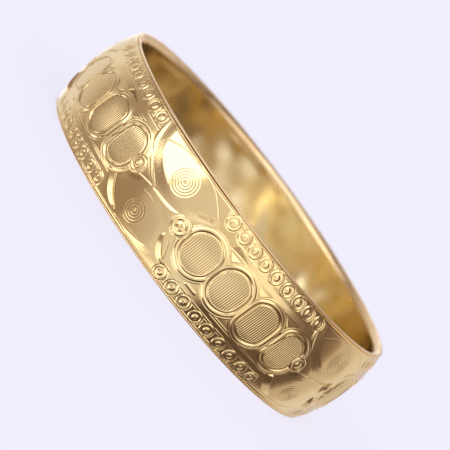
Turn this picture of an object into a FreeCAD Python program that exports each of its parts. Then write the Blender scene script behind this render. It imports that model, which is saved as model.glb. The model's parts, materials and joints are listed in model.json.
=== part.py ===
"""Slip-on bangle bracelet, built the way a hollow sheet-gold bangle is built.

Four rings of metal are soldered into one closed band: a domed outer shell that carries the
ornament, a plain inner liner that touches the wrist, and two edge wires that join shell and liner
at the rims. Every ring is a revolved profile about Z, the axis of the wrist opening. The origin is
the centre of the bangle, +Z points out of the front opening, and all sizes are in millimetres.
"""
import FreeCAD, Part
import os
import Sketcher

DRIVING_SIZES = {
    "bore_diameter": 60.3,      # clear opening for the hand
    "band_width": 16.4,         # rim to rim, along the wrist
    "liner_thickness": 0.4,     # inner sheet
    "shell_thickness": 0.4,     # outer sheet
    "rim_radius": 31.4,         # outside of the band where the shell ends at an edge wire
    "dome_height": 1.3,         # how far the middle of the shell stands above its ends
    "wire_height": 0.35,        # part of the width, at each side, that the edge wire covers
    "wire_face": 0.3,           # flat ring that the bangle rests on
    "wire_corner": 0.1,         # rounding of the wire's outer corner
    "bevel_height": 1.2,        # the wire's rounded inner face, along the axis
}

FULL_TURN = 360.0
HORIZONTAL_AXIS = -1            # the sketcher's own number for a sketch's horizontal axis
ORIGIN = (-1, 1)                # the sketcher's own address of a sketch's origin
START, END, CENTRE = 1, 2, 3    # the sketcher's numbers for the points of an edge

# Places that several profiles share, as expressions of the sheet's cells.
BORE_RADIUS = "Sizes.bore_diameter / 2"
LINER_OUTSIDE = "Sizes.bore_diameter / 2 + Sizes.liner_thickness"
HALF_WIDTH = "Sizes.band_width / 2"
LINER_END = "Sizes.band_width / 2 - Sizes.bevel_height"
SHELL_END = "Sizes.band_width / 2 - Sizes.wire_height"
SHELL_END_INSIDE = "Sizes.rim_radius - Sizes.shell_thickness"


def make_sheet(doc):
    """The driving dimensions, one named cell each."""
    sheet = doc.addObject("Spreadsheet::Sheet", "Sizes")
    for row, (alias, value) in enumerate(DRIVING_SIZES.items(), start=1):
        sheet.set(f"A{row}", alias)
        sheet.set(f"B{row}", str(value))
        sheet.setAlias(f"B{row}", alias)
    doc.recompute()
    return sheet


def bind(sketch, kind, places, start_value, expression):
    """Add a dimension to a sketch and tie it to the sheet."""
    index = sketch.addConstraint(Sketcher.Constraint(kind, *places, start_value))
    sketch.setExpression(f"Constraints[{index}]", expression)


def place_point(sketch, edge, end, radius, height):
    """Fix one point of a profile at a radius and a height, each a (value, expression) pair."""
    bind(sketch, "DistanceX", (*ORIGIN, edge, end), *radius)
    bind(sketch, "DistanceY", (*ORIGIN, edge, end), *height)


def join_in_ring(sketch, edges):
    """Join each edge's end to the next edge's start, and the last back to the first."""
    for this_edge, next_edge in zip(edges, edges[1:] + edges[:1]):
        sketch.addConstraint(Sketcher.Constraint("Coincident", this_edge, END, next_edge, START))


def add_line(sketch, start, end):
    """A straight edge between two (radius, height) points."""
    return sketch.addGeometry(Part.LineSegment(vector(start), vector(end)), False)


def vector(point):
    """A point of a profile: radius along X, height along Y of the sketch."""
    return FreeCAD.Vector(point[0], point[1], 0)


def new_profile(doc, label):
    """A body with an empty sketch on its own XZ plane."""
    body = doc.addObject("PartDesign::Body", label)
    body.Label = label
    sketch = body.newObject("Sketcher::SketchObject", label + "_profile")
    plane = next(item for item in body.Origin.OriginFeatures if item.Role == "XZ_Plane")
    sketch.AttachmentSupport = [(plane, "")]
    sketch.MapMode = "FlatFace"
    return body, sketch


def revolve_profile(doc, body, sketch, label):
    """Turn the profile all the way round the wrist axis."""
    ring = body.newObject("PartDesign::Revolution", label + "_ring")
    ring.Profile = sketch
    ring.ReferenceAxis = (sketch, ["V_Axis"])
    ring.Angle = FULL_TURN
    body.Tip = ring
    sketch.Visibility = False
    doc.recompute()
    return body


def make_outer_shell(doc, sheet):
    """Domed strip of one thickness, both faces arcs about one centre, cut flat at the wires."""
    body, sketch = new_profile(doc, "outer_shell")
    rim = sheet.rim_radius
    end = sheet.band_width / 2 - sheet.wire_height
    inside = rim - sheet.shell_thickness
    curve = (end**2 + sheet.dome_height**2) / (2 * sheet.dome_height)
    curve_expression = f"(({SHELL_END})^2 + Sizes.dome_height^2) / (2 * Sizes.dome_height)"
    crown = rim + sheet.dome_height

    outer_arc = Part.Arc(vector((rim, -end)), vector((crown, 0)), vector((rim, end)))
    outer = sketch.addGeometry(outer_arc, False)
    top = add_line(sketch, (rim, end), (inside, end))
    crown_inside = crown - sheet.shell_thickness
    inner_arc = Part.Arc(vector((inside, -end)), vector((crown_inside, 0)), vector((inside, end)))
    inner = sketch.addGeometry(inner_arc, False)
    bottom = add_line(sketch, (inside, -end), (rim, -end))

    sketch.addConstraint(Sketcher.Constraint("Coincident", outer, END, top, START))
    sketch.addConstraint(Sketcher.Constraint("Coincident", top, END, inner, END))
    sketch.addConstraint(Sketcher.Constraint("Coincident", inner, START, bottom, START))
    sketch.addConstraint(Sketcher.Constraint("Coincident", bottom, END, outer, START))
    sketch.addConstraint(Sketcher.Constraint("Horizontal", top))
    sketch.addConstraint(Sketcher.Constraint("Horizontal", bottom))
    sketch.addConstraint(Sketcher.Constraint("PointOnObject", outer, CENTRE, HORIZONTAL_AXIS))
    sketch.addConstraint(Sketcher.Constraint("Coincident", outer, CENTRE, inner, CENTRE))
    place_point(sketch, outer, END, (rim, "Sizes.rim_radius"), (end, SHELL_END))
    bind(sketch, "Radius", (outer,), curve, curve_expression)
    inner_curve = curve - sheet.shell_thickness
    bind(sketch, "Radius", (inner,), inner_curve, curve_expression + " - Sizes.shell_thickness")
    bind(sketch, "DistanceY", (bottom, END, *ORIGIN), end, SHELL_END)
    return revolve_profile(doc, body, sketch, "outer_shell")


def make_inner_liner(doc, sheet):
    """Plain cylindrical sleeve between the two edge wires."""
    body, sketch = new_profile(doc, "inner_liner")
    bore = sheet.bore_diameter / 2
    outside = bore + sheet.liner_thickness
    end = sheet.band_width / 2 - sheet.bevel_height
    corners = [(bore, -end), (outside, -end), (outside, end), (bore, end)]
    edges = [add_line(sketch, *pair) for pair in zip(corners, corners[1:] + corners[:1])]
    bottom, wall, top, bore_wall = edges
    join_in_ring(sketch, edges)
    sketch.addConstraint(Sketcher.Constraint("Horizontal", bottom))
    sketch.addConstraint(Sketcher.Constraint("Horizontal", top))
    sketch.addConstraint(Sketcher.Constraint("Vertical", bore_wall))
    sketch.addConstraint(Sketcher.Constraint("Vertical", wall))
    place_point(sketch, wall, END, (outside, LINER_OUTSIDE), (end, LINER_END))
    bind(sketch, "DistanceX", (*ORIGIN, bore_wall, END), bore, BORE_RADIUS)
    bind(sketch, "DistanceY", (bore_wall, END, *ORIGIN), end, LINER_END)
    return revolve_profile(doc, body, sketch, "inner_liner")


def make_edge_wire(doc, sheet, label):
    """Ring that closes one rim: a flat to rest on, a soft outer corner and a rounded inner face.

    The profile is drawn for the front rim. It meets the liner's end over the liner's thickness and
    the shell's end over the shell's thickness, and a sloping back face spans the gap between them.
    """
    body, sketch = new_profile(doc, label)
    half = sheet.band_width / 2
    rim = sheet.rim_radius
    corner = sheet.wire_corner
    bore = sheet.bore_diameter / 2
    liner_outside = bore + sheet.liner_thickness
    liner_end = half - sheet.bevel_height
    shell_end = half - sheet.wire_height
    shell_inside = rim - sheet.shell_thickness
    face_outside = rim - corner
    face_inside = face_outside - sheet.wire_face

    seat = add_line(sketch, (bore, liner_end), (liner_outside, liner_end))
    back = add_line(sketch, (liner_outside, liner_end), (shell_inside, shell_end))
    shelf = add_line(sketch, (shell_inside, shell_end), (rim, shell_end))
    side = add_line(sketch, (rim, shell_end), (rim, half - corner))
    corner_middle = corner * 0.5**0.5
    corner_arc = Part.Arc(
        vector((rim, half - corner)),
        vector((face_outside + corner_middle, half - corner + corner_middle)),
        vector((face_outside, half)),
    )
    rounded = sketch.addGeometry(corner_arc, False)
    flat = add_line(sketch, (face_outside, half), (face_inside, half))
    reach = face_inside - bore
    rise = sheet.bevel_height
    bevel_radius = (reach**2 + rise**2) / (2 * reach)
    middle_rise = rise / 2
    middle_reach = bevel_radius - (bevel_radius**2 - middle_rise**2) ** 0.5
    bevel_arc = Part.Arc(
        vector((face_inside, half)),
        vector((bore + middle_reach, liner_end + middle_rise)),
        vector((bore, liner_end)),
    )
    bevel = sketch.addGeometry(bevel_arc, False)

    face_outside_expression = "Sizes.rim_radius - Sizes.wire_corner"
    face_inside_expression = face_outside_expression + " - Sizes.wire_face"
    reach_expression = f"({face_inside_expression} - {BORE_RADIUS})"
    bevel_expression = (
        f"({reach_expression}^2 + Sizes.bevel_height^2) / (2 * {reach_expression})"
    )
    join_in_ring(sketch, [seat, back, shelf, side, rounded, flat, bevel])
    place_point(sketch, seat, END, (liner_outside, LINER_OUTSIDE), (liner_end, LINER_END))
    place_point(sketch, seat, START, (bore, BORE_RADIUS), (liner_end, LINER_END))
    place_point(sketch, shelf, START, (shell_inside, SHELL_END_INSIDE), (shell_end, SHELL_END))
    place_point(sketch, side, START, (rim, "Sizes.rim_radius"), (shell_end, SHELL_END))
    place_point(sketch, side, END, (rim, "Sizes.rim_radius"),
                (half - corner, HALF_WIDTH + " - Sizes.wire_corner"))
    place_point(sketch, flat, START, (face_outside, face_outside_expression), (half, HALF_WIDTH))
    place_point(sketch, flat, END, (face_inside, face_inside_expression), (half, HALF_WIDTH))
    bind(sketch, "Radius", (rounded,), corner, "Sizes.wire_corner")
    bind(sketch, "Radius", (bevel,), bevel_radius, bevel_expression)
    return revolve_profile(doc, body, sketch, label)


def check(doc, parts):
    """Stop if any object failed, any profile is loose or any piece isn't one valid solid."""
    for item in doc.Objects:
        if "Invalid" in item.State or "Error" in item.State:
            raise RuntimeError(f"{item.Name} failed: {item.State}")
        if item.isDerivedFrom("Sketcher::SketchObject") and not item.FullyConstrained:
            raise RuntimeError(f"{item.Name} isn't fully constrained")
    for body in parts:
        if body.Shape.isNull() or not body.Shape.isValid():
            raise RuntimeError(f"{body.Label} has no valid shape")
        if len(body.Shape.Solids) != 1:
            raise RuntimeError(f"{body.Label} isn't one solid")


def main():
    doc = FreeCAD.newDocument("Bangle")
    sheet = make_sheet(doc)
    outer_shell = make_outer_shell(doc, sheet)
    inner_liner = make_inner_liner(doc, sheet)
    front_wire = make_edge_wire(doc, sheet, "front_edge_wire")
    rear_wire = make_edge_wire(doc, sheet, "rear_edge_wire")
    upright = FreeCAD.Placement()
    half_turn = FreeCAD.Rotation(FreeCAD.Vector(1, 0, 0), FULL_TURN / 2)
    outer_shell.Placement = upright
    inner_liner.Placement = upright
    front_wire.Placement = upright
    rear_wire.Placement = FreeCAD.Placement(FreeCAD.Vector(0, 0, 0), half_turn)
    doc.recompute()
    parts = [outer_shell, inner_liner, front_wire, rear_wire]
    check(doc, parts)
    os.makedirs("parts", exist_ok=True)
    for body in parts:
        body.Shape.exportStep(f"parts/{body.Label}.step")


main()
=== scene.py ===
"""Looks of the gold slip-on bangle: struck relief on the shell, polished metal, studio and camera.

The shell's ornament is a height field over the domed band: s runs round the band and z along the
wrist axis. One motif repeats round the band, and each repeat is struck a little unevenly, from
seeded draws. Lengths are in millimetres up to the making of a mesh. Meshes, the scratches, the
floor and the camera are in metres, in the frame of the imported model.
"""
import json
import math

import bpy
import numpy as np
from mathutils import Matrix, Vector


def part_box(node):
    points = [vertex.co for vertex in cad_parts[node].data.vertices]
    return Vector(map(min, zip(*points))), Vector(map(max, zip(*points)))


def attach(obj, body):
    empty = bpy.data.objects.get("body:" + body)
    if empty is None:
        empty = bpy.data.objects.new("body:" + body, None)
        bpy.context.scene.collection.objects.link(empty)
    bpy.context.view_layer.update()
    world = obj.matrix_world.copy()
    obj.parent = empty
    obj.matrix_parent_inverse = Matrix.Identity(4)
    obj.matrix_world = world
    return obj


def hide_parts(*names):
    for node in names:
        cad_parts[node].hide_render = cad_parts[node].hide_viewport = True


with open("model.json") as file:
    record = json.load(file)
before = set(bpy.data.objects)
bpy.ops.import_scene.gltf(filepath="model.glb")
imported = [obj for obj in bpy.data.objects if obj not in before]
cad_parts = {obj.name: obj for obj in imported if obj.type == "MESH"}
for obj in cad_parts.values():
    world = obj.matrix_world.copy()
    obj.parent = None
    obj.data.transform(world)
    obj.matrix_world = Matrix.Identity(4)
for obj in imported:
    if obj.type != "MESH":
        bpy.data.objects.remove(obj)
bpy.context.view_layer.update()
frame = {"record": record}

MM = 0.001
ROOT = "root"

# ---------------------------------------------------------------- sizes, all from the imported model

shell_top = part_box("outer_shell")[1]
liner_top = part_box("inner_liner")[1]
wire_low, wire_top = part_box("front_edge_wire")
mounts = {mount["name"]: mount for mount in frame["record"]["mounts"]}

CROWN = shell_top.x / MM                # outside radius at the middle of the band
SHELL_HALF = shell_top.z / MM           # half the shell's width
RIM = wire_top.x / MM                   # outside radius of an edge wire
HALF_WIDTH = wire_top.z / MM            # half the bangle's width
LINER_HALF = liner_top.z / MM           # half the liner's width, where the wire's bevel starts
LINER_OUTSIDE = liner_top.x / MM
BORE = mounts["wrist_bore"]["dims"]["r_mm"]
SHEET = LINER_OUTSIDE - BORE            # thickness of both sheets
DOME = CROWN - RIM                      # how far the middle of the band stands above its edges
DOME_CURVE = (SHELL_HALF**2 + DOME**2) / (2 * DOME)     # radius of the dome's section

REPEATS = 5                             # motifs round the band
PATTERN_RADIUS = CROWN - DOME / 3       # radius at which arc lengths are counted
CIRCUMFERENCE = 2 * math.pi * PATTERN_RADIUS
FIRST_CHAIN = math.radians(21.4)        # middle of the first chain, from -Y towards +X
FRONT_GAP = math.radians(73.1)          # from the last chain to the first, a little over the rest
CHAIN_STEP = (2 * math.pi - FRONT_GAP) / (REPEATS - 1)

COLUMNS_PER_MOTIF = 1000
ROWS = 400
SEED = 11
TINY = 1e-9                             # keeps divisions away from nought


# ---------------------------------------------------------------- curves and distances

def smooth_curve(points, steps=7):
    """Points along a Catmull-Rom curve through the given ones."""
    p = np.array(points, float)
    p = np.vstack([2 * p[0] - p[1], p, 2 * p[-1] - p[-2]])
    t = np.linspace(0, 1, steps, endpoint=False)[:, None]
    runs = []
    for a, b, c, d in zip(p[:-3], p[1:-2], p[2:-1], p[3:]):
        runs.append(0.5 * (2 * b + (c - a) * t + (2 * a - 5 * b + 4 * c - d) * t**2
                           + (3 * b - a - 3 * c + d) * t**3))
    return np.vstack(runs + [p[-2:-1]])


def distance_to_curve(s, z, curve):
    """Distance from each grid point to the curve, and how far along it the nearest point is."""
    best = np.full(np.broadcast(s, z).shape, np.inf)
    along = np.zeros_like(best)
    count = len(curve) - 1
    for i, (a, b) in enumerate(zip(curve[:-1], curve[1:])):
        run = b - a
        share = np.clip(((s - a[0]) * run[0] + (z - a[1]) * run[1]) / (run @ run), 0, 1)
        gap = np.hypot(s - a[0] - share * run[0], z - a[1] - share * run[1])
        nearer = gap < best
        best = np.where(nearer, gap, best)
        along = np.where(nearer, (i + share) / count, along)
    return best, along


def side_of_curve(s, z, curve):
    """Which side of the curve's nearest stretch each point lies on: above 0 on its left."""
    best = np.full(np.broadcast(s, z).shape, np.inf)
    side = np.zeros_like(best)
    for a, b in zip(curve[:-1], curve[1:]):
        middle = (a + b) / 2
        gap = np.hypot(s - middle[0], z - middle[1])
        cross = (b[0] - a[0]) * (z - a[1]) - (b[1] - a[1]) * (s - a[0])
        nearer = gap < best
        best = np.where(nearer, gap, best)
        side = np.where(nearer, cross, side)
    return side


def inside_depth(s, z, outline):
    """How deep each point lies inside a closed outline, negative outside it."""
    gap, _ = distance_to_curve(s, z, outline)
    inside = np.zeros(gap.shape, bool)
    for a, b in zip(outline[:-1], outline[1:]):
        crosses = (a[1] > z) != (b[1] > z)
        rise = b[1] - a[1] if b[1] != a[1] else TINY
        inside ^= crosses & (s < (b[0] - a[0]) * (z - a[1]) / rise + a[0])
    return np.where(inside, gap, -gap)


def bump(distance, half_width):
    """A ridge with soft feet: 1 on the line, 0 at half_width."""
    t = np.clip(np.abs(distance) / half_width, 0, 1)
    return (1 - t**2) ** 2


def arch(distance, half_width):
    """A round wire-like ridge with crisp feet: 1 on the line, 0 at half_width."""
    return np.clip(1 - (distance / half_width) ** 2, 0, 1)


def ease(x, low, high):
    """0 below low, 1 above high, smooth between."""
    t = np.clip((x - low) / (high - low), 0, 1)
    return t * t * (3 - 2 * t)


def greater(a, b, blend):
    """The greater of two distances, rounded over where they meet."""
    share = np.clip(0.5 + 0.5 * (a - b) / blend, 0, 1)
    return b + (a - b) * share + blend * share * (1 - share)


# ---------------------------------------------------------------- the motif, in millimetres

# The chain: four hatched discs, each in a moat, a heavy ring and a fine one. Left and right say
# where a disc is cut straight, from its centre, and hatch how deep its lines are.
DISCS = [
    {"left": 3.10, "right": 3.00, "hatch": 0.035},
    {"left": 3.10, "right": 2.90, "hatch": 0.035},
    {"left": 2.58, "right": 2.60, "hatch": 0.042},
    {"left": 2.15, "right": 2.85, "hatch": 0.085},
]
PITCH = 6.87                            # between medallion centres
FIRST_DISC = -(len(DISCS) - 1) / 2 * PITCH              # from the chain's middle
MEDALLION_Z = -0.14
MEDALLION_REACH = {"side": 4.6, "up": 5.0}              # of the end medallions, and of them all
DISC_HALF_WIDTH = 3.2
DISC_HALF_HEIGHT = 3.36
DISC_CORNER = 0.5                       # how far the cuts round into the disc
MOAT = {"outside": 0.08, "half": 0.18, "depth": 0.07}
HEAVY_RING = {"outside": 0.50, "half": 0.38, "rise": 0.12}
FINE_RING = {"outside": 1.00, "half": 0.17, "rise": 0.035}
MEDALLION_EDGE = (1.0, 1.35)            # outside the disc, where earlier work starts again
HATCH_PITCH = 0.35
HATCH_STAIN = 0.030                     # how much deeper the worn hatching looks than it is
HATCH_EDGE = (-0.34, -0.22)             # just inside the disc's edge, where the hatching ends
HATCH_STRENGTHS = (1.0, 0.9, 0.8, 0.9, 0.5)             # one for each repeat
# Two dark slanting cuts left of the last disc, from its centre, with their half widths.
SLASHES = [
    ([(-3.15, 1.5), (-3.4, -0.1), (-3.45, -2.0)], 0.26),
    ([(-2.2, 1.7), (-2.4, 0.3), (-2.75, -1.3)], 0.20),
]
SLASH_DEPTH = 0.02
SLASH_STAIN = 0.12

# The beads: concentric rings (share of the bead's radius, half width, rise) round a dimpled dome.
DOME_RISE = 0.27                        # of a dome's own radius
DIMPLE = {"share": 0.42, "depth": 0.35}                 # of the dome's radius and rise
SEAT = {"half": 0.16, "depth": 0.045}                   # the groove round a bead
BEAD_EDGE = (0.98, 1.06)                # in bead radii, where earlier work starts again
BEAD_MARGIN = 0.3
EDGE_BEADS = 9                          # in each row beside a chain
EDGE_BEAD = {"radius": 1.2, "dome": 0.44, "rings": [(0.82, 0.24, 0.065)]}
EDGE_BEAD_STRENGTHS = (1.0, 0.9, 0.9, 1.0, 0.75)        # one for each repeat
# Slides are how far a row's middle lies from its chain's, one for each repeat.
UPPER_ROW = {"z": 6.5, "pitch": 2.69, "slides": (-0.35, -0.6, -0.2, -0.5, -1.05)}
LOWER_ROW = {"z": -6.65, "pitch": 2.85, "slides": (-0.3, 0.1, -0.1, -0.3, 0.05)}
START_BEAD = {"s": -15.35, "z": -0.05, "radius": 1.7, "dome": 0.45,
              "rings": [(0.95, 0.17, 0.04), (0.70, 0.34, 0.15)]}
END_BEAD = {"s": 14.2, "z": 0.05, "radius": 1.42, "dome": 0.45, "rings": [(0.80, 0.30, 0.09)]}

# Straight rules beside the chain: s from, s to, z, from the chain's middle. Each has a groove on
# its outer side.
RULES = [(-8.6, 11.6, 5.2), (-5.2, 9.5, 3.9), (-9.6, 11.8, -5.45), (-4.6, 12.0, -4.3)]
RULE = {"half": 0.14, "rise": 0.03, "groove_offset": 0.22, "groove": 0.03, "fade": 0.3}
# Small facets above the corners between the medallions, highest at their lowest point.
SPANDREL = {"half": 1.3, "low": 2.75, "high": 3.85, "rise": 0.30, "edge": 0.15}
# A short crest below the first corner: s from, s to, z, and how far it tapers at its ends.
CREST = {"from": -8.7, "to": -5.9, "z": -4.45, "half": 0.34, "rise": 0.12, "taper": 0.6}
# A grainy hollow between the upper row and the rings, and how far it slides at each repeat.
HOLLOW = [(-8.5, 4.1), (-7.9, 4.95), (-6.6, 5.0), (-4.6, 4.4), (-6.4, 4.3)]
HOLLOW_SLIDES = (0, 4.0, -1.0, 7.0, 9.8)
HOLLOW_DEPTH = 0.05
HOLLOW_GRAIN = 0.04
HOLLOW_ROLL = (-0.1, 0.15)
HOLLOW_MARGIN = 0.2

# How far hand-set punches stray from the drawing.
STRAY = {"rule": 0.04, "medallion": 0.03, "medallion_z": 0.05, "hatch": 0.1,
         "bead": 0.12, "bead_z": 0.05, "bead_size": 0.04}

# The field between two chains, s from its middle: two almonds parted by an S ridge.
FIELD_OFFSET = 0.3                      # from midway between the chains
UPPER_ALMOND = [
    (-8.2, 7.1), (-7.6, 5.6), (-6.6, 4.4), (-5.4, 3.3), (-3.6, 2.3), (-1.6, 1.6),
    (0.4, 1.25), (2.2, 1.35), (3.8, 1.8), (5.0, 2.7), (6.2, 3.7), (7.6, 4.6),
    (8.2, 5.8), (8.0, 7.4), (7.6, 9.0), (0.4, 9.2), (-5.6, 9.2), (-8.4, 9.0),
]
LOWER_ALMOND = [
    (-7.5, -4.0), (-6.3, -2.5), (-4.8, -1.3), (-3.0, -0.65), (-1.1, -0.5), (0.9, -0.8),
    (2.5, -1.5), (3.8, -2.4), (4.6, -3.6), (5.1, -4.9), (5.4, -6.0), (4.0, -6.9),
    (1.5, -7.3), (-1.3, -7.2), (-3.6, -6.8), (-5.5, -5.9), (-6.8, -4.9),
]
ALMOND_MARGIN = 1.0
# An almond's edge rolls down from inside its outline to outside it.
ALMONDS = [
    {"outline": UPPER_ALMOND, "rise": 0.20, "roll": (-1.1, 0.7)},
    {"outline": LOWER_ALMOND, "rise": 0.04, "roll": (-0.35, 1.3)},
]

# Engraved lines, each with its depth.
GROOVES = [
    ([(-7.1, 5.7), (-4.2, 7.0), (-0.8, 7.5), (1.5, 7.55), (3.7, 7.2), (5.4, 6.45), (7.1, 5.4),
      (8.5, 4.2)], 0.035),
    ([(3.6, 7.1), (4.9, 6.2), (6.0, 5.0)], 0.012),
    ([(4.9, -2.0), (5.8, -2.9), (6.6, -4.1), (7.2, -5.1)], 0.06),
    ([(-6.9, 2.2), (-5.3, 1.3), (-3.9, 0.6), (-2.6, 0.1)], 0.006),
    ([(-6.4, 3.1), (-4.9, 2.1), (-3.5, 1.2), (-2.2, 0.45)], 0.006),
]
GROOVE_HALF = 0.15
# A stroke of painted shade beside the lower almond, a dark reflection on its smooth field, and how
# deep it looks.
PAINTED_SHADE_STROKE = [(-8.2, -3.1), (-7.2, -2.5), (-6.0, -1.8), (-4.6, -1.1)]
PAINTED_SHADE_HALF = 0.80
PAINTED_SHADE_DEPTH = 0.05
# Fine ridges, each with its rise, and the shares of their length where they taper.
FINE_RIDGES = [
    ([(-7.5, 3.4), (-5.8, 2.0), (-4.4, 1.0), (-3.2, 0.35), (-1.9, -0.05), (0.0, -0.12)], 0.006),
    ([(-8.6, -2.9), (-7.2, -1.9), (-5.3, -0.8), (-3.6, -0.35), (-2.0, -0.08)], 0.022),
    ([(-3.1, -1.5), (-1.5, -1.25), (0.2, -1.4)], 0.012),
    ([(-3.4, -7.05), (-0.6, -7.2), (2.0, -6.75), (4.0, -6.1)], 0.05),
]
FINE_RIDGE_HALF = 0.24
FINE_RIDGE_TAPER = 0.15
# A leaf left of the upper almond: a ridge that swells and tapers along a curve.
LEAF = [(-9.7, 7.3), (-9.3, 6.0), (-8.6, 4.7), (-7.8, 3.7), (-6.8, 3.0)]
LEAF_HALF = 0.52                        # at its widest
LEAF_RISE = 0.13
LEAF_FULLNESS = 0.7                     # lower is fuller towards the tips
LEAF_TIPS = (0.02, 0.98)                # shares of the length beyond which it is no thinner
# Facets: a crest along a curve, steep on its left and falling away over a width on its right,
# with its rise. They swell early and taper to both ends.
FACETS = [
    ([(-8.9, -2.6), (-7.6, -3.7), (-6.2, -5.1), (-4.9, -6.1), (-3.6, -6.8)], 1.15, 0.35),
    ([(4.1, -2.1), (5.2, -3.6), (6.3, -4.7), (7.4, -5.2), (9.4, -5.35)], 0.90, 0.37),
    ([(3.7, 1.0), (2.6, 0.35), (1.2, 0.0), (-0.6, -0.1), (-2.1, -0.1)], 0.44, 0.20),
]
FACET_STEEP = 0.16                      # width of the steep side
FACET_SWELL = 0.8                       # below 1 the widest place comes earlier
FACET_FULLNESS = 0.6
FACET_TIPS = (0.01, 0.99)               # as for the leaf
FACET_START = 0.12                      # share of the length over which it starts
FACET_THINNEST = 0.01                   # keeps its width above nought at the tips
TARGETS = [(0.17, 4.3, 5), (-1.15, -4.35, 4)]           # s, z, number of rings
TARGET_PITCH = 0.46
TARGET_RING = {"half": 0.17, "rise": 0.010, "groove": 0.016, "stain_and_shade": 0.025}
TARGET_DOME = {"half": 0.2, "rise": 0.10}
# Matt grainy strips: a curve, the half width and the grain's depth.
GRAINY_STRIPS = [
    ([(-7.2, 4.6), (-5.4, 2.9), (-3.2, 1.8), (-0.9, 1.2), (1.2, 1.2), (3.0, 1.6), (4.4, 2.5)],
     0.60, 0.012),
    ([(0.6, -0.7), (2.4, -1.2), (3.8, -2.1)], 0.55, 0.008),
    ([(5.3, 3.3), (6.1, 3.8), (7.2, 4.3)], 0.50, 0.07),
]
GRAIN_CELL = 2                          # grid steps to a grain

# The edges of the shell, from the edge inwards, and how uneven its sheet is.
EDGE_LINE = {"inside": 0.13, "half": 0.11, "rise": 0.05}
EDGE_GROOVE = {"inside": 0.36, "half": 0.12, "depth": 0.04}
EDGE_FADE = (-0.01, 0.05)
CALM_EDGE = 1.5                         # the sheets are even at their edges
SHELL_WAVES = [(14.0, 0.03), (6.0, 0.012)]              # wavelength, amplitude
WAVES_CROSSING = 6                      # trains of waves at each wavelength


class Band:
    """The height field of the whole band, struck one element at a time."""

    def __init__(self):
        self.columns = COLUMNS_PER_MOTIF * REPEATS
        self.s = np.arange(self.columns) / self.columns * CIRCUMFERENCE
        self.z = np.linspace(-SHELL_HALF, SHELL_HALF, ROWS + 1)
        shape = (self.columns, ROWS + 1)
        self.ground = np.zeros(shape)           # broad forms: the raised fields
        self.ridges = np.zeros(shape)           # what stands proud
        self.cuts = np.zeros(shape)             # what is cut in
        # Extra darkening of the tone. Where nothing is cut, as beside the lower almond, it is
        # painted shade.
        self.stain_and_shade = np.zeros(shape)            # extra darkening, counted as depth of cut
        self.draw = np.random.default_rng(SEED)

    def patch(self, middle, s_range, z_range):
        """The grid inside a box round a place: its index, and s from the place, and z."""
        away = (self.s - middle + CIRCUMFERENCE / 2) % CIRCUMFERENCE - CIRCUMFERENCE / 2
        columns = np.nonzero((away >= s_range[0]) & (away <= s_range[1]))[0]
        rows = np.nonzero((self.z >= z_range[0]) & (self.z <= z_range[1]))[0]
        return np.ix_(columns, rows), away[columns][:, None], self.z[rows][None, :]

    def patch_round(self, middle, curve, margin):
        """The grid within a margin of a curve that is drawn from a place."""
        low = curve.min(axis=0) - margin
        high = curve.max(axis=0) + margin
        return self.patch(middle, (low[0], high[0]), (low[1], high[1]))

    def near_curve(self, middle, points, margin):
        """The grid near a smooth curve: its index, the distance and how far along the curve."""
        curve = smooth_curve(points)
        index, s, z = self.patch_round(middle, curve, margin)
        gap, along = distance_to_curve(s, z, curve)
        return index, gap, along

    def uneven(self, amount):
        """A small signed departure from the drawing, as hand-set punches leave."""
        return self.draw.uniform(-amount, amount)

    def grain(self, shape):
        """Soft-edged random grains, 0 to 1."""
        coarse = self.draw.random((shape[0] // GRAIN_CELL + 2, shape[1] // GRAIN_CELL + 2))
        cells = np.kron(coarse, np.ones((GRAIN_CELL, GRAIN_CELL)))
        soft = (cells[:-1, :-1] + cells[1:, :-1] + cells[:-1, 1:] + cells[1:, 1:]) / 4
        return soft[:shape[0], :shape[1]]

    def raise_ridge(self, index, height):
        """Let a ridge stand where it is higher than what is there."""
        self.ridges[index] = np.maximum(self.ridges[index], height)

    def cut(self, index, depth):
        """Cut where this is deeper than what is there."""
        self.cuts[index] = np.maximum(self.cuts[index], depth)

    def clear(self, index, mask):
        """Take earlier work away where mask is 1."""
        for layer in (self.ridges, self.cuts, self.stain_and_shade):
            layer[index] *= 1 - mask

    def height(self):
        """The layers together, above the plain dome."""
        return self.ground + self.ridges - self.cuts


# ---------------------------------------------------------------- the chain's elements

def strike_rule(band, middle, start, end, height):
    """A straight fine ridge with a groove on its outer side."""
    fade = RULE["fade"]
    reach = RULE["groove_offset"] + RULE["half"]
    index, s, z = band.patch(middle, (start - fade, end + fade), (height - reach, height + reach))
    share = ease(s, start - fade, start + fade) * (1 - ease(s, end - fade, end + fade))
    outward = math.copysign(RULE["groove_offset"], height)
    band.raise_ridge(index, RULE["rise"] * arch(z - height, RULE["half"]) * share)
    band.cut(index, RULE["groove"] * bump(z - height - outward, RULE["half"]) * share)


def strike_hollow(band, middle):
    """A small grainy hollow."""
    outline = smooth_curve(HOLLOW + HOLLOW[:1])
    index, s, z = band.patch_round(middle, outline, HOLLOW_MARGIN)
    inside = inside_depth(s, z, outline)
    depth = HOLLOW_DEPTH + HOLLOW_GRAIN * band.grain(inside.shape)
    band.cut(index, depth * ease(inside, *HOLLOW_ROLL))


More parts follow.
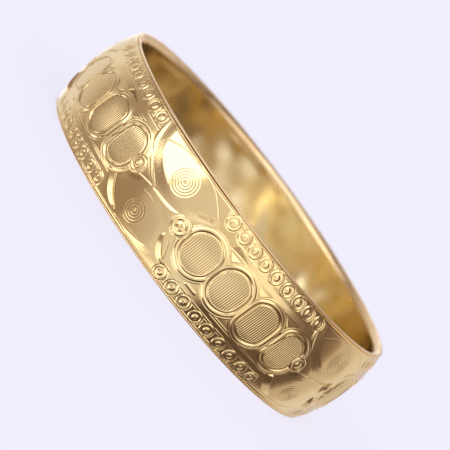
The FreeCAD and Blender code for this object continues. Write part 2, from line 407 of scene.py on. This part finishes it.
def strike_medallion(band, centre, number, strength):
    """A hatched disc in a moat and two rings, cut straight beside its neighbours."""
    last = len(DISCS) - 1
    left_reach = MEDALLION_REACH["side"] if number == 0 else PITCH / 2
    right_reach = MEDALLION_REACH["side"] if number == last else PITCH / 2
    up = MEDALLION_REACH["up"]
    index, s, z = band.patch(centre, (-left_reach, right_reach), (-up, up))
    z = z - MEDALLION_Z - band.uneven(STRAY["medallion_z"])
    radial = np.hypot(s, z)
    stretch = np.hypot(s / DISC_HALF_WIDTH, z / DISC_HALF_HEIGHT) + TINY
    outside = radial * (1 - 1 / stretch)
    disc = DISCS[number]
    outside = greater(outside, -s - disc["left"], DISC_CORNER)
    outside = greater(outside, s - disc["right"], DISC_CORNER)
    band.clear(index, 1 - ease(outside, *MEDALLION_EDGE))
    slide = band.uneven(STRAY["hatch"])
    lines = 0.5 - 0.5 * np.cos(2 * np.pi * (s + slide) / HATCH_PITCH)
    hatching = strength * lines * (1 - ease(outside, *HATCH_EDGE))
    band.cut(index, disc["hatch"] * hatching)
    band.stain_and_shade[index] = HATCH_STAIN * hatching
    band.cut(index, MOAT["depth"] * bump(outside - MOAT["outside"], MOAT["half"]))
    for ring in (HEAVY_RING, FINE_RING):
        band.raise_ridge(index, ring["rise"] * bump(outside - ring["outside"], ring["half"]))


def strike_slashes(band, centre):
    """The dark slanting cuts through the rings left of the last disc."""
    for points, half_width in SLASHES:
        index, gap, _ = band.near_curve(centre, points, half_width)
        slash = bump(gap, half_width)
        band.clear(index, slash)
        band.cut(index, SLASH_DEPTH * slash)
        band.stain_and_shade[index] += SLASH_STAIN * slash


def strike_spandrel(band, corner):
    """A small facet, a triangle that stands on its tip."""
    half, low, high = SPANDREL["half"], SPANDREL["low"], SPANDREL["high"]
    index, s, z = band.patch(corner, (-half, half), (low, high))
    up = (z - low) / (high - low)
    inside = ease(up - np.abs(s) / half, 0, SPANDREL["edge"])
    band.raise_ridge(index, SPANDREL["rise"] * (1 - up) * inside)


def strike_crest(band, middle):
    """The short crest below the first corner."""
    start, end, taper = CREST["from"], CREST["to"], CREST["taper"]
    low, high = CREST["z"] - CREST["half"], CREST["z"] + CREST["half"]
    index, s, z = band.patch(middle, (start, end), (low, high))
    share = ease(s, start, start + taper) * (1 - ease(s, end - taper, end))
    band.raise_ridge(index, CREST["rise"] * share * bump(z - CREST["z"], CREST["half"]))


def strike_bead(band, place, height, radius, bead, strength=1.0):
    """Concentric rings round a small dome, in a shallow punched seat."""
    reach = radius + BEAD_MARGIN
    index, s, z = band.patch(place, (-reach, reach), (height - reach, height + reach))
    radial = np.hypot(s, z - height)
    band.clear(index, 1 - ease(radial, radius * BEAD_EDGE[0], radius * BEAD_EDGE[1]))
    for share, half_width, rise in bead["rings"]:
        band.raise_ridge(index, strength * rise * bump(radial - share * radius, half_width))
    dome = bead["dome"] * radius
    dimple = DIMPLE["depth"] * bump(radial, DIMPLE["share"] * dome)
    band.raise_ridge(index, strength * DOME_RISE * dome * (arch(radial, dome) - dimple))
    band.cut(index, strength * SEAT["depth"] * bump(radial - radius, SEAT["half"]))


def strike_bead_row(band, middle, row, strength):
    """One row of edge beads, each set a little off its place."""
    start = middle - (EDGE_BEADS - 1) / 2 * row["pitch"]
    for number in range(EDGE_BEADS):
        place = start + number * row["pitch"] + band.uneven(STRAY["bead"])
        height = row["z"] + band.uneven(STRAY["bead_z"])
        radius = EDGE_BEAD["radius"] * (1 + band.uneven(STRAY["bead_size"]))
        strike_bead(band, place, height, radius, EDGE_BEAD, strength)


def strike_chain(band, middle, repeat):
    """A whole chain, its elements in the order in which they cover one another."""
    for start, end, height in RULES:
        strike_rule(band, middle, start, end, height + band.uneven(STRAY["rule"]))
    strike_hollow(band, middle + HOLLOW_SLIDES[repeat])
    for number in range(len(DISCS)):
        centre = middle + FIRST_DISC + number * PITCH + band.uneven(STRAY["medallion"])
        strike_medallion(band, centre, number, HATCH_STRENGTHS[repeat])
    strike_slashes(band, middle - FIRST_DISC)
    for gap in range(len(DISCS) - 1):
        strike_spandrel(band, middle + FIRST_DISC + (gap + 0.5) * PITCH)
    strike_crest(band, middle)
    for row in (UPPER_ROW, LOWER_ROW):
        strike_bead_row(band, middle + row["slides"][repeat], row, EDGE_BEAD_STRENGTHS[repeat])
    for bead in (START_BEAD, END_BEAD):
        strike_bead(band, middle + bead["s"], bead["z"], bead["radius"], bead)


# ---------------------------------------------------------------- the field's elements

def strike_almond(band, middle, almond):
    """A raised pillow with rolled edges."""
    outline = smooth_curve(almond["outline"] + almond["outline"][:1])
    index, s, z = band.patch_round(middle, outline, ALMOND_MARGIN)
    band.ground[index] += almond["rise"] * ease(inside_depth(s, z, outline), *almond["roll"])


def strike_grain(band, middle, points, half_width, depth):
    """A matt grainy strip along a curve, at full depth over the middle half of its width."""
    index, gap, _ = band.near_curve(middle, points, half_width)
    band.cut(index, depth * band.grain(gap.shape) * (1 - ease(gap, 0.5 * half_width, half_width)))


def strike_lines(band, middle):
    """Engraved lines, a stroke of painted shade and fine ridges."""
    for points, depth in GROOVES:
        index, gap, _ = band.near_curve(middle, points, GROOVE_HALF)
        band.cut(index, depth * bump(gap, GROOVE_HALF))
    # Painted shade: the stroke only darkens the tone, and nothing is cut here.
    index, gap, _ = band.near_curve(middle, PAINTED_SHADE_STROKE, PAINTED_SHADE_HALF)
    band.stain_and_shade[index] += PAINTED_SHADE_DEPTH * bump(gap, PAINTED_SHADE_HALF)
    for points, rise in FINE_RIDGES:
        index, gap, along = band.near_curve(middle, points, FINE_RIDGE_HALF)
        taper = ease(along, 0, FINE_RIDGE_TAPER) * (1 - ease(along, 1 - FINE_RIDGE_TAPER, 1))
        band.raise_ridge(index, rise * taper * bump(gap, FINE_RIDGE_HALF))


def strike_leaf(band, middle):
    """A soft ridge, widest and highest halfway along."""
    index, gap, along = band.near_curve(middle, LEAF, LEAF_HALF)
    swell = np.sin(np.pi * np.clip(along, *LEAF_TIPS)) ** LEAF_FULLNESS
    band.raise_ridge(index, LEAF_RISE * swell * bump(gap, LEAF_HALF * swell))


def strike_facet(band, middle, points, width, rise):
    """A crest with a steep side and a long flat one."""
    curve = smooth_curve(points)
    index, s, z = band.patch_round(middle, curve, width)
    gap, along = distance_to_curve(s, z, curve)
    swell = np.sin(np.pi * np.clip(along, *FACET_TIPS) ** FACET_SWELL) ** FACET_FULLNESS
    taper = swell * ease(along, 0, FACET_START)
    falling = np.clip(1 - gap / np.maximum(width * taper, FACET_THINNEST), 0, 1)
    steep = 1 - ease(gap, 0, FACET_STEEP)
    right = side_of_curve(s, z, curve) < 0
    band.raise_ridge(index, rise * taper * np.where(right, falling, steep))


def strike_target(band, place, height, rings):
    """Fine raised rings with stained grooves between them, round a small dome."""
    reach = (rings + 1) * TARGET_PITCH
    index, s, z = band.patch(place, (-reach, reach), (height - reach, height + reach))
    radial = np.hypot(s, z - height)
    half = TARGET_RING["half"]
    band.raise_ridge(index, TARGET_DOME["rise"] * arch(radial, TARGET_DOME["half"]))
    for number in range(1, rings + 1):
        ring = radial - number * TARGET_PITCH
        groove = bump(ring + TARGET_PITCH / 2, half)
        band.raise_ridge(index, TARGET_RING["rise"] * bump(ring, half))
        band.cut(index, TARGET_RING["groove"] * groove)
        band.stain_and_shade[index] += TARGET_RING["stain_and_shade"] * groove


def strike_field(band, middle):
    """Two almond pillows with ring targets, parted by an S ridge, with a leaf and grain."""
    for almond in ALMONDS:
        strike_almond(band, middle, almond)
    for points, half_width, depth in GRAINY_STRIPS:
        strike_grain(band, middle, points, half_width, depth)
    strike_lines(band, middle)
    strike_leaf(band, middle)
    for points, width, rise in FACETS:
        strike_facet(band, middle, points, width, rise)
    for place, height, rings in TARGETS:
        strike_target(band, middle + place, height, rings)


# ---------------------------------------------------------------- the whole band

def low_waves(s, z, waves, draw):
    """Gentle unevenness of worked sheet, closed round the band: (wavelength, amplitude) pairs."""
    total = np.zeros(np.broadcast(s, z).shape)
    for wavelength, amplitude in waves:
        for _ in range(WAVES_CROSSING):
            heading = draw.uniform(0, math.pi)
            turns = round(CIRCUMFERENCE / wavelength * math.cos(heading))
            slant = math.sin(heading) / wavelength
            phase = draw.uniform(0, 2 * math.pi)
            angle = 2 * np.pi * (turns * s / CIRCUMFERENCE + slant * z) + phase
            total += amplitude / math.sqrt(WAVES_CROSSING) * np.sin(angle)
    return total


def struck_band():
    """The band with all its layers, and the finished height field of the shell's outside."""
    band = Band()
    chains = [(FIRST_CHAIN + i * CHAIN_STEP) * PATTERN_RADIUS for i in range(REPEATS)]
    for i, chain in enumerate(chains):
        gap = FRONT_GAP if i == 0 else CHAIN_STEP
        strike_field(band, chain - gap / 2 * PATTERN_RADIUS + FIELD_OFFSET)
    for i, chain in enumerate(chains):
        strike_chain(band, chain, i)
    edge = SHELL_HALF - np.abs(band.z[None, :]) * np.ones((band.columns, 1))
    everywhere = np.s_[:, :]
    line = arch(edge - EDGE_LINE["inside"], EDGE_LINE["half"])
    groove = bump(edge - EDGE_GROOVE["inside"], EDGE_GROOVE["half"])
    band.raise_ridge(everywhere, EDGE_LINE["rise"] * line)
    band.cut(everywhere, EDGE_GROOVE["depth"] * groove)
    waves = low_waves(band.s[:, None], band.z[None, :], SHELL_WAVES, band.draw)
    field = band.height() + waves * ease(edge, 0, CALM_EDGE)
    return band, field * ease(edge, *EDGE_FADE)


# ---------------------------------------------------------------- meshes

PLAIN_COLUMNS = 1440             # round the liner and the wires
LINER_WAVES = [(30.0, 0.04), (11.0, 0.035), (5.0, 0.018)]
LINER_ROWS = 90
WIRE_WAVES = [(20.0, 0.010), (7.0, 0.005)]
WIRE_FACE = 0.3                         # the flat that the bangle rests on
BEVEL_POINTS = 15
ROUND_POINTS = 13
PLAIN_SIDE_ROWS = {"shell": 9, "liner": 5}              # on the sides that face each other
SHARP_EDGE = math.radians(70)


def wrapped_mesh(name, points):
    """A closed mesh from a grid of points: columns round the band, rows round the profile."""
    columns, rows = points.shape[:2]
    index = np.arange(columns * rows).reshape(columns, rows)
    right = np.roll(index, -1, axis=0)
    quads = np.stack([index, right, np.roll(right, -1, axis=1), np.roll(index, -1, axis=1)], -1)
    quads = quads.reshape(-1, 4)
    mesh = bpy.data.meshes.new(name)
    mesh.vertices.add(columns * rows)
    mesh.vertices.foreach_set("co", (points * MM).astype(np.float32).ravel())
    mesh.loops.add(len(quads) * 4)
    mesh.loops.foreach_set("vertex_index", quads.astype(np.int32).ravel())
    mesh.polygons.add(len(quads))
    mesh.polygons.foreach_set("loop_start", np.arange(0, len(quads) * 4, 4, dtype=np.int32))
    mesh.update(calc_edges=True)
    mesh.shade_smooth()
    mesh.set_sharp_from_angle(angle=SHARP_EDGE)
    piece = bpy.data.objects.new(name, mesh)
    bpy.context.scene.collection.objects.link(piece)
    return piece


def turn(radius, height, azimuth):
    """Points at (radius, height) turned round the wrist axis, azimuth from -Y towards +X."""
    return np.stack([radius * np.sin(azimuth), -radius * np.cos(azimuth),
                     height * np.ones_like(azimuth)], -1)


def dome_radius(z):
    """Radius of the plain domed band at a height."""
    return CROWN - (DOME_CURVE - np.sqrt(DOME_CURVE**2 - z**2))


def make_shell():
    """The ornamented sheet: struck outside, plain inside."""
    band, field = struck_band()
    azimuth = (band.s / PATTERN_RADIUS)[:, None]
    outside = dome_radius(band.z[None, :]) + field
    inside_z = np.linspace(SHELL_HALF, -SHELL_HALF, PLAIN_SIDE_ROWS["shell"])[None, :]
    inside = (dome_radius(inside_z) - SHEET) * np.ones_like(azimuth)
    radius = np.hstack([outside, inside])
    height = np.hstack([band.z[None, :], inside_z]) * np.ones_like(azimuth)
    azimuth = azimuth * np.ones_like(radius)
    piece = wrapped_mesh("struck_shell", turn(radius, height, azimuth))
    # Depth below the plain surface for the tarnish, plus the extra darkening layer, which is painted
    # shade on the smooth lower field.
    hollow = np.hstack([band.cuts - band.ridges + band.stain_and_shade, np.zeros_like(inside)])
    attribute = piece.data.attributes.new("hollow", "FLOAT", "POINT")
    attribute.data.foreach_set("value", hollow.astype(np.float32).ravel())
    return piece


def make_liner():
    """The plain sleeve, slightly uneven as bent sheet is."""
    draw = np.random.default_rng(SEED + 1)
    azimuth = (np.arange(PLAIN_COLUMNS) / PLAIN_COLUMNS * 2 * math.pi)[:, None]
    z_inside = np.linspace(LINER_HALF, -LINER_HALF, LINER_ROWS)[None, :]
    s = azimuth * PATTERN_RADIUS
    calm = ease(LINER_HALF - np.abs(z_inside), 0, CALM_EDGE)
    inside = BORE + low_waves(s, z_inside, LINER_WAVES, draw) * calm
    z_outside = np.linspace(-LINER_HALF, LINER_HALF, PLAIN_SIDE_ROWS["liner"])[None, :]
    outside = LINER_OUTSIDE * np.ones((PLAIN_COLUMNS, z_outside.shape[1]))
    radius = np.hstack([inside, outside])
    height = np.hstack([z_inside, z_outside]) * np.ones_like(azimuth)
    return wrapped_mesh("liner_sleeve", turn(radius, height, azimuth * np.ones_like(radius)))


def wire_profile():
    """The edge wire's section at the front rim, as (radius, height) points that run round it."""
    round_radius = (HALF_WIDTH - SHELL_HALF) / 2        # the wire's outer side is half round
    face_outside = RIM - round_radius
    face_inside = face_outside - WIRE_FACE
    rise = HALF_WIDTH - LINER_HALF
    reach = face_inside - BORE
    curve = (reach**2 + rise**2) / (2 * reach)
    bevel = [(BORE + curve - math.sqrt(curve**2 - h**2), LINER_HALF + h)
             for h in np.linspace(0, rise, BEVEL_POINTS)]
    rounded = [(face_outside + round_radius * math.cos(a),
                HALF_WIDTH - round_radius + round_radius * math.sin(a))
               for a in np.linspace(math.pi / 2, -math.pi / 2, ROUND_POINTS)]
    back = [(RIM - SHEET, SHELL_HALF), (LINER_OUTSIDE, LINER_HALF)]
    return np.array(bevel + rounded + back)


def make_wire(name, side):
    """One edge wire, side +1 for the front rim and -1 for the rear, with a hand-filed wobble."""
    profile = wire_profile()
    azimuth = (np.arange(PLAIN_COLUMNS) / PLAIN_COLUMNS * 2 * math.pi)[:, None]
    draw = np.random.default_rng(SEED + 2 + side)
    wobble = low_waves(azimuth * PATTERN_RADIUS, np.zeros((1, 1)), WIRE_WAVES, draw)
    radius = profile[None, :, 0] + wobble
    height = profile[None, :, 1] * side * np.ones_like(azimuth)
    points = turn(radius, height, azimuth * np.ones_like(radius))
    return wrapped_mesh(name, points if side < 0 else points[:, ::-1])


# ---------------------------------------------------------------- materials

class Nodes:
    """A short way to write a node tree."""

    def __init__(self, tree):
        self.tree = tree
        tree.nodes.clear()

    def put(self, socket, value):
        """Link another node's output to a socket, or set the socket to a plain value."""
        if isinstance(value, bpy.types.NodeSocket):
            self.tree.links.new(value, socket)
        else:
            socket.default_value = value

    def add(self, kind, inputs=None, **settings):
        """A node with its settings, and its inputs by name or number."""
        node = self.tree.nodes.new(kind)
        for name, value in settings.items():
            setattr(node, name, value)
        for name, value in (inputs or {}).items():
            self.put(node.inputs[name], value)
        return node

    def math(self, operation, *values):
        """One step of arithmetic."""
        node = self.add("ShaderNodeMath", dict(enumerate(values)), operation=operation)
        return node.outputs[0]

    def noise(self, vector, scale, detail=4.0):
        """Cloudy noise, 0 to 1."""
        node = self.add("ShaderNodeTexNoise", {"Vector": vector, "Scale": scale, "Detail": detail,
                                               "Roughness": NOISE_ROUGHNESS})
        return node.outputs["Fac"]

    def spread(self, value, low, high, to_low, to_high):
        """A value from low to high, eased to run from to_low to to_high."""
        node = self.add("ShaderNodeMapRange", {"Value": value, "From Min": low, "From Max": high,
                                               "To Min": to_low, "To Max": to_high},
                        interpolation_type="SMOOTHSTEP")
        return node.outputs[0]

    def window(self, value, limits):
        """1 between two limits and 0 outside them, with soft edges."""
        low, high, soft = limits
        rising = self.spread(value, low - soft, low + soft, 0.0, 1.0)
        falling = self.spread(value, high - soft, high + soft, 1.0, 0.0)
        return self.math("MULTIPLY", rising, falling)

    def mix(self, share, first, second):
        """The first value, turning into the second as share goes from 0 to 1."""
        node = self.add("ShaderNodeMix", {"Factor": share, 2: first, 3: second},
                        data_type="FLOAT")
        return node.outputs[0]

    def mix_colour(self, share, first, second):
        """The first colour, turning into the second as share goes from 0 to 1."""
        node = self.add("ShaderNodeMix", {"Factor": share, 6: first, 7: second},
                        data_type="RGBA")
        return node.outputs[2]

    def mix_shader(self, share, first, second):
        """The first surface or sky, turning into the second as share goes from 0 to 1."""
        node = self.add("ShaderNodeMixShader", {"Fac": share, 1: first, 2: second})
        return node.outputs[0]

    def output(self, kind, surface):
        """The node that ends the tree."""
        self.add(kind, {"Surface": surface})


GOLD_LIGHT = (0.97, 0.76, 0.39, 1)
GOLD_WARM = (0.95, 0.70, 0.32, 1)
LINER_LIGHT = (0.92, 0.785, 0.47, 1)
LINER_WARM = (0.88, 0.72, 0.40, 1)
WIRE_LIGHT = (0.93, 0.70, 0.40, 1)
WIRE_WARM = (0.90, 0.65, 0.34, 1)
# Brown of the tarnish in the hollows. On the smooth lower field the same brown is painted shade.
TARNISH_AND_SHADE = (0.34, 0.21, 0.09, 1)
TARNISH_AND_SHADE_DEPTHS = (0.01, 0.09)           # below the plain surface, in millimetres
TARNISH_AND_SHADE_SHARE = 0.9
SHELL_ROUGHNESS = 0.11
WIRE_ROUGHNESS = 0.32
LINER_ROUGHNESS = 0.17
NOISE_ROUGHNESS = 0.55
# Scales are in cells of noise to a metre. Of each noise, what counts lies between low and high.
PATCHES = {"scale": 90.0, "low": 0.35, "high": 0.7}
SMEARS = {"scale": 260.0, "detail": 6.0, "low": 0.3, "high": 0.75}
SMEAR_ROUGHNESS = (0.75, 1.4)           # shares of the metal's roughness
SCRATCH_SCALE = (900.0, 900.0, 9000.0)  # drawn out round the band
SCRATCH_DETAIL = 3.0
SCRATCH_SHARE = 0.7                     # of the fine relief, the rest is grain
GRAIN_SCALE = 6000.0
GRAIN_DETAIL = 2.0
RELIEF_STRENGTH = 0.3
RELIEF_DEPTH = 0.000022                 # metres


def gold(name, light, warm, roughness, tarnish_and_shade=False):
    """Polished yellow gold: patchy tone, smears of handling, fine polishing scratches."""
    material = bpy.data.materials.new(name)
    material.use_nodes = True
    n = Nodes(material.node_tree)
    place = n.add("ShaderNodeTexCoord").outputs["Object"]
    patches = n.spread(n.noise(place, PATCHES["scale"]), PATCHES["low"], PATCHES["high"], 0.0, 1.0)
    tone = n.mix_colour(patches, light, warm)
    # Tarnish in the hollows, and painted shade where the shell's darkening layer marks uncut metal.
    if tarnish_and_shade:
        hollow = n.add("ShaderNodeAttribute", attribute_name="hollow").outputs["Fac"]
        share = n.spread(hollow, *TARNISH_AND_SHADE_DEPTHS, 0.0, TARNISH_AND_SHADE_SHARE)
        tone = n.mix_colour(share, tone, TARNISH_AND_SHADE)
    smears = n.noise(place, SMEARS["scale"], SMEARS["detail"])
    smooth, rough = (roughness * share for share in SMEAR_ROUGHNESS)
    smeared = n.spread(smears, SMEARS["low"], SMEARS["high"], smooth, rough)
    stretch = n.add("ShaderNodeMapping", {"Vector": place, "Scale": SCRATCH_SCALE})
    scratches = n.noise(stretch.outputs[0], 1.0, SCRATCH_DETAIL)
    grain = n.noise(place, GRAIN_SCALE, GRAIN_DETAIL)
    height = n.math("ADD", n.math("MULTIPLY", scratches, SCRATCH_SHARE),
                    n.math("MULTIPLY", grain, 1 - SCRATCH_SHARE))
    relief = n.add("ShaderNodeBump", {"Strength": RELIEF_STRENGTH, "Distance": RELIEF_DEPTH,
                                      "Height": height})
    surface = n.add("ShaderNodeBsdfPrincipled", {"Base Color": tone, "Metallic": 1.0,
                                                 "Roughness": smeared,
                                                 "Normal": relief.outputs[0]})
    n.output("ShaderNodeOutputMaterial", surface.outputs[0])
    return material


FLOOR_GLOW = (1.01, 0.995, 1.15, 1)
FLOOR_PAINT = (0.80, 0.785, 0.875, 1)
GLOW_SHARE = 0.7


def pale_floor_material():
    """Plain lavender white that glows a little, so that only soft faint shadows fall on it."""
    material = bpy.data.materials.new("pale_floor")
    material.use_nodes = True
    n = Nodes(material.node_tree)
    matt = n.add("ShaderNodeBsdfDiffuse", {"Color": FLOOR_PAINT})
    glow = n.add("ShaderNodeEmission", {"Color": FLOOR_GLOW, "Strength": 1.0})
    both = n.mix_shader(GLOW_SHARE, matt.outputs[0], glow.outputs[0])
    n.output("ShaderNodeOutputMaterial", both)
    return material


# ---------------------------------------------------------------- studio

BACKDROP = (0.896, 0.88, 0.982, 1)
LIT = (1.0, 0.98, 1.02, 1)              # colour of bright light
DIM = (1.0, 0.73, 0.66, 1)              # what little light a dark flag returns is warmer
DIM_TO_LIT = (0.1, 0.9)                 # the brightness at which each holds
# The room, brightness by elevation in degrees: dim below, lighter above.
ROOM = {"from": -50, "to": 15, "low": 0.54, "high": 0.66}
# What the metal mirrors: azimuth from -Y towards +X and elevation in degrees, each with how softly
# its edges fade, and the brightness. Later ones cover earlier ones.
FLAGS_AND_BOXES = [
    {"azimuth": (-210, 210, 8), "elevation": (40, 100, 8), "level": 0.25},
    {"azimuth": (-210, 210, 8), "elevation": (-100, -56, 8), "level": 0.16},
    {"azimuth": (-210, -126, 8), "elevation": (-50, 50, 15), "level": 0.82},
    {"azimuth": (-210, -162, 6), "elevation": (-50, 50, 15), "level": 1.2},
    {"azimuth": (-108, -76, 8), "elevation": (-40, 45, 12), "level": 0.38},
    {"azimuth": (-70, -37, 8), "elevation": (-48, -4, 4), "level": 0.36},
    {"azimuth": (-80, -58, 3), "elevation": (-18, -2, 4), "level": 1.7},
    {"azimuth": (-16, 24, 14), "elevation": (-56, -4, 8), "level": 0.80},
    {"azimuth": (-20, 44, 12), "elevation": (-12, 40, 8), "level": 0.76},
    {"azimuth": (0, 46, 8), "elevation": (-20, -3, 4), "level": 1.15},
    {"azimuth": (26, 64, 8), "elevation": (0, 42, 8), "level": 1.12},
    {"azimuth": (4, 50, 8), "elevation": (27, 60, 6), "level": 1.6},
    {"azimuth": (-42, 30, 4), "elevation": (36, 74, 5), "level": 1.8},
    {"azimuth": (-62, -28, 1.5), "elevation": (0, 36, 3), "level": 2.4},
    {"azimuth": (-106, -80, 3), "elevation": (-64, -40, 3), "level": 1.9},
    {"azimuth": (-62, 6, 6), "elevation": (-74, -46, 3), "level": 1.8},
    {"azimuth": (64, 109, 16), "elevation": (-30, 60, 10), "level": 0.17},
    {"azimuth": (54, 109, 10), "elevation": (-32, -5, 4), "level": 0.14},
    {"azimuth": (26, 94, 8), "elevation": (-80, -24, 6), "level": 0.11},
    {"azimuth": (109, 150, 1.5), "elevation": (-60, 50, 15), "level": 0.58},
    {"azimuth": (124, 150, 8), "elevation": (-60, 50, 15), "level": 0.76},
]
# What the sleeve mirrors across the bore, in two reflections or more: brightness by azimuth.
ONE_REFLECTION = 2.5                    # a ray's depth at the sky: 2 after one, 3 after two
INSIDE_LEVEL = 0.95
INSIDE_FLAGS_AND_BOXES = [
    {"azimuth": (-190, -120, 8), "level": 0.60},
    {"azimuth": (-120, -84, 8), "level": 0.30},
    {"azimuth": (-84, -10, 8), "level": 0.25},
    {"azimuth": (-44, -16, 4), "level": 0.12},
    {"azimuth": (-10, 26, 8), "level": 0.55},
    {"azimuth": (26, 56, 8), "level": 0.42},
    {"azimuth": (56, 80, 8), "level": 0.65},
    {"azimuth": (164, 178, 3), "level": 3.0},
]


def outside_level(n, azimuth, elevation):
    """Brightness of the sky that the outside of the band mirrors."""
    level = n.spread(elevation, ROOM["from"], ROOM["to"], ROOM["low"], ROOM["high"])
    for area in FLAGS_AND_BOXES:
        share = n.math("MULTIPLY", n.window(azimuth, area["azimuth"]),
                       n.window(elevation, area["elevation"]))
        level = n.mix(share, level, area["level"])
    return level


def inside_level(n, azimuth):
    """Brightness of the sky as it is mirrored across the bore."""
    level = INSIDE_LEVEL
    for area in INSIDE_FLAGS_AND_BOXES:
        level = n.mix(n.window(azimuth, area["azimuth"]), level, area["level"])
    return level


def build_studio():
    """A soft studio as a sky of light: bright boxes and dark flags that only the metal mirrors."""
    world = bpy.data.worlds.new("studio")
    bpy.context.scene.world = world
    world.use_nodes = True
    n = Nodes(world.node_tree)
    direction = n.add("ShaderNodeTexCoord").outputs["Generated"]
    x, y, z = n.add("ShaderNodeSeparateXYZ", {"Vector": direction}).outputs
    azimuth = n.math("DEGREES", n.math("ARCTAN2", x, n.math("MULTIPLY", y, -1.0)))
    elevation = n.math("DEGREES", n.math("ARCSINE", z))
    light_path = n.add("ShaderNodeLightPath").outputs
    crossed_bore = n.math("GREATER_THAN", light_path["Ray Depth"], ONE_REFLECTION)
    level = n.mix(crossed_bore, outside_level(n, azimuth, elevation), inside_level(n, azimuth))
    colour = n.mix_colour(n.spread(level, *DIM_TO_LIT, 0.0, 1.0), DIM, LIT)
    studio = n.add("ShaderNodeBackground", {"Color": colour, "Strength": level})
    backdrop = n.add("ShaderNodeBackground", {"Color": BACKDROP, "Strength": 1.0})
    seen = n.mix_shader(light_path["Is Camera Ray"], studio.outputs[0], backdrop.outputs[0])
    n.output("ShaderNodeOutputWorld", seen)


FLOOR_SIZE = 8.0                        # metres


def build_floor():
    """A wide pale floor under the rear rim. The metal mirrors the studio and not the floor."""
    bpy.ops.mesh.primitive_plane_add(size=FLOOR_SIZE, location=(0, 0, -HALF_WIDTH * MM))
    floor = bpy.context.object
    floor.name = "floor"
    floor.data.materials.append(pale_floor_material())
    floor.visible_glossy = False


CAMERA_ELEVATION = math.radians(8.7)
CAMERA_ROLL = math.radians(53.4)
CAMERA_DISTANCE = 15.0 * RIM * MM
LENS_SPAN = 6.66                        # focal length over frame width
FRAME_SHIFT = (0.009, -0.001)
SENSOR = 36.0
APERTURE = 45.0
NEAR_CLIP = 0.01
FOCUS_FRONT = 0.93 * CROWN * MM         # the front of the band is the sharp part


def build_camera():
    """A long lens just above the ring plane, rolled so that the band runs down to the right."""
    data = bpy.data.cameras.new("camera")
    data.sensor_width = SENSOR
    data.lens = SENSOR * LENS_SPAN
    data.shift_x, data.shift_y = FRAME_SHIFT
    data.clip_start = NEAR_CLIP
    camera = bpy.data.objects.new("camera", data)
    back = np.array([0, -math.cos(CAMERA_ELEVATION), math.sin(CAMERA_ELEVATION)])
    level_right = np.array([1.0, 0, 0])
    level_up = np.cross(back, level_right)
    right = math.cos(CAMERA_ROLL) * level_right + math.sin(CAMERA_ROLL) * level_up
    up = math.cos(CAMERA_ROLL) * level_up - math.sin(CAMERA_ROLL) * level_right
    matrix = np.eye(4)
    matrix[:3] = np.column_stack([right, up, back, back * CAMERA_DISTANCE])
    camera.matrix_world = matrix.T.tolist()
    bpy.context.scene.collection.objects.link(camera)
    bpy.context.scene.camera = camera
    focus = bpy.data.objects.new("focus", None)
    bpy.context.scene.collection.objects.link(focus)
    towards_lens = focus.constraints.new("COPY_LOCATION")
    towards_lens.target = camera
    towards_lens.influence = FOCUS_FRONT / CAMERA_DISTANCE
    data.dof.use_dof = True
    data.dof.focus_object = focus
    data.dof.aperture_fstop = APERTURE


# ---------------------------------------------------------------- assembly

def finish_piece(piece, node, material):
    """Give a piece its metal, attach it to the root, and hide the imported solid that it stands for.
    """
    piece.data.materials.append(material)
    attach(piece, ROOT)
    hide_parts(node)


shell_gold = gold("embossed_gold", GOLD_LIGHT, GOLD_WARM, SHELL_ROUGHNESS, tarnish_and_shade=True)
liner_gold = gold("liner_gold", LINER_LIGHT, LINER_WARM, LINER_ROUGHNESS)
wire_gold = gold("wire_gold", WIRE_LIGHT, WIRE_WARM, WIRE_ROUGHNESS)
finish_piece(make_shell(), "outer_shell", shell_gold)
finish_piece(make_liner(), "inner_liner", liner_gold)
finish_piece(make_wire("front_rim_wire", 1), "front_edge_wire", wire_gold)
finish_piece(make_wire("rear_rim_wire", -1), "rear_edge_wire", wire_gold)
build_floor()
build_studio()
build_camera()
bpy.context.scene.view_settings.view_transform = "Standard"
